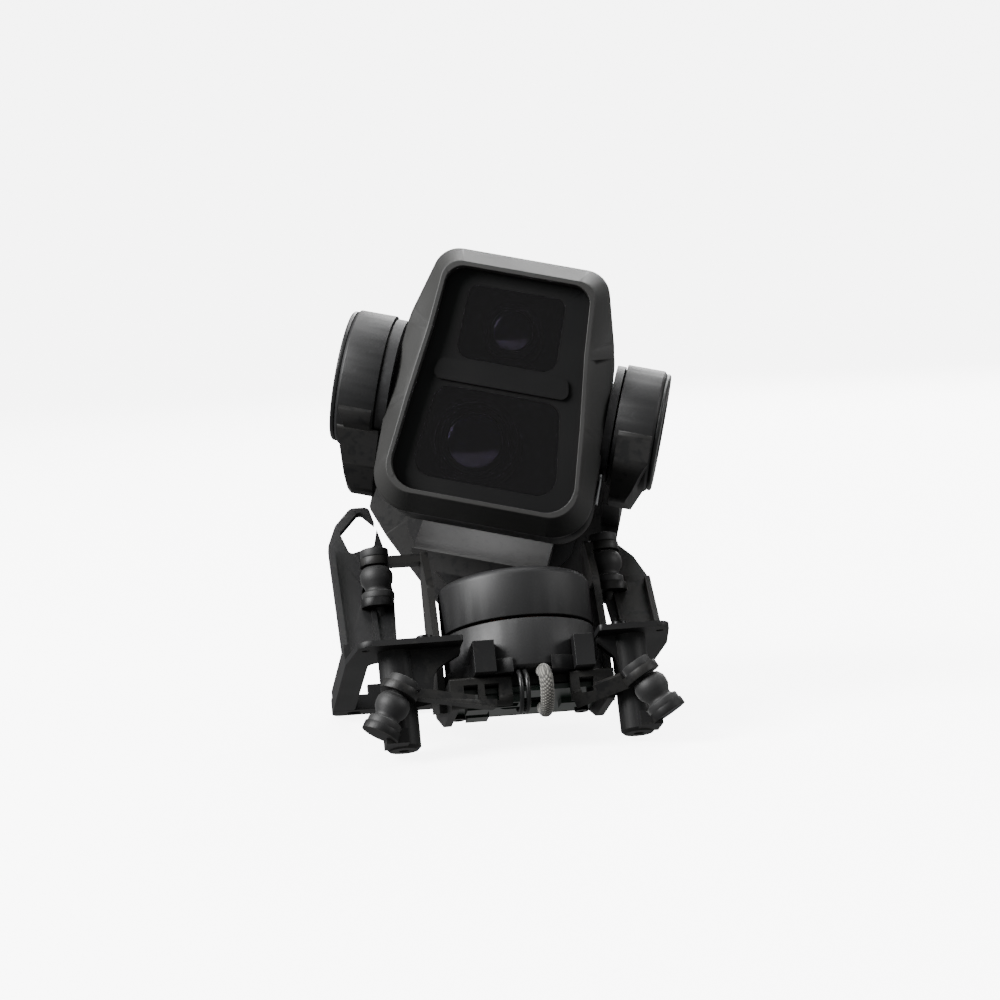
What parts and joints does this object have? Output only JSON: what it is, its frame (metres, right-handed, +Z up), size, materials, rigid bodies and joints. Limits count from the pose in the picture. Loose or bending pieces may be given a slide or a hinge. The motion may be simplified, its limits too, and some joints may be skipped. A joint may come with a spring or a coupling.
{
  "type": "camera gimbal",
  "caption": "Stabilised camera head for a small drone: a twin-window camera in a motorised yoke on a vibration-damped mounting bracket.",
  "frame": {"origin": "middle of the bounding box, on the surface that the part stands on", "axes": "+Z up from the table, +Y to the back, +X to the right seen from the front; the part leans back on its bracket"},
  "size_m": [0.0564, 0.0734, 0.0761],
  "materials": {
    "bracket_alloy": "matt black coating on a thin magnesium casting",
    "damper_rubber": "matt black silicone rubber",
    "screw_steel": "black zinc steel",
    "plate_alloy": "matt black coating on aluminium",
    "motor_shell": "satin dark grey anodised aluminium",
    "core_steel": "stacked silicon steel",
    "copper": "enamelled copper wire",
    "bearing_steel": "ground bearing steel",
    "magnet": "nickel-plated magnets",
    "wire_jacket": "black wire jacket",
    "braid": "light grey woven sleeve",
    "circuit_board": "solder-masked board",
    "arm_alloy": "matt dark grey coating on magnesium",
    "cap_plastic": "matt dark grey cap",
    "camera_shell": "fine-textured dark grey shell",
    "lens_panel_black": "matt black inside the recess",
    "window_glass": "coated black window glass",
    "lens_glass": "coated lens glass",
    "heat_spreader": "bare aluminium"
  },
  "bodies": {
    "bracket": {"bracket_left_frame": "bracket_alloy", "bracket_right_frame": "bracket_alloy", "bracket_left_panel": "bracket_alloy", "bracket_right_panel": "bracket_alloy", "bracket_rear_bridge": "bracket_alloy", "bracket_screws": "screw_steel", "damper_front_left": "damper_rubber", "damper_front_right": "damper_rubber", "damper_rear_left": "damper_rubber", "damper_rear_right": "damper_rubber"},
    "plate": {"damping_plate": "plate_alloy", "yaw_motor_cradle": "plate_alloy", "yaw_stator_housing": "motor_shell", "yaw_stator_core": "core_steel", "yaw_windings": "copper", "yaw_bearings": "bearing_steel", "signal_wires": "wire_jacket", "braided_cable_sleeve": "braid", "control_board": "circuit_board", "board_connector": "circuit_board", "plate_screws": "screw_steel"},
    "yaw_arm": {"yaw_rotor_cap": "motor_shell", "yaw_magnets": "magnet", "yaw_shaft": "bearing_steel", "yaw_arm": "arm_alloy", "yaw_arm_cover": "arm_alloy", "roll_stator_housing": "motor_shell", "roll_stator_core": "core_steel", "roll_windings": "copper", "roll_bearings": "bearing_steel"},
    "roll_yoke": {"roll_rotor_cap": "motor_shell", "roll_magnets": "magnet", "roll_shaft": "bearing_steel", "roll_yoke": "arm_alloy", "yoke_front_plate": "arm_alloy", "pitch_stator_housing": "motor_shell", "pitch_stator_core": "core_steel", "pitch_windings": "copper", "pitch_bearings": "bearing_steel", "pitch_motor_cap": "cap_plastic", "idler_cap": "cap_plastic", "idler_housing": "motor_shell", "idler_bearings": "bearing_steel"},
    "camera": {"pitch_rotor_cap": "motor_shell", "pitch_magnets": "magnet", "pitch_shaft": "bearing_steel", "idler_hub": "motor_shell", "idler_shaft": "bearing_steel", "camera_front_bezel": "camera_shell", "camera_rear_shell": "camera_shell", "lens_panel": "lens_panel_black", "tele_window": "window_glass", "wide_window": "window_glass", "tele_lens_barrel": "lens_panel_black", "wide_lens_barrel": "lens_panel_black", "lens_front_elements": "lens_glass", "image_sensors": "circuit_board", "camera_main_board": "circuit_board", "camera_heat_spreader": "heat_spreader", "camera_screws": "screw_steel"}
  },
  "joints": [
    {"name": "damper_travel", "type": "slide", "parent": "bracket", "child": "plate", "axis": [0, 0.3665, 0.9304], "range_m": [-0.0003, 0.0003], "stiffness_N_per_m": 4000, "deforming": ["damper_front_left", "damper_front_right", "damper_rear_left", "damper_rear_right"]},
    {"name": "yaw", "type": "hinge", "parent": "plate", "child": "yaw_arm", "pos_m": [-0.00067, -0.01443, 0.01544], "axis": [0, 0.3665, 0.9304], "range_deg": [-5, 12]},
    {"name": "roll", "type": "hinge", "parent": "yaw_arm", "child": "roll_yoke", "pos_m": [-0.00067, -0.00241, 0.04596], "axis": [0.1392, 0.9214, -0.3629], "range_deg": [-10, 5]},
    {"name": "pitch", "type": "hinge", "parent": "roll_yoke", "child": "camera", "pos_m": [0.00089, -0.00072, 0.05085], "axis": [0.947, -0.231, -0.2232], "range_deg": [-146, 59]}
  ]
}
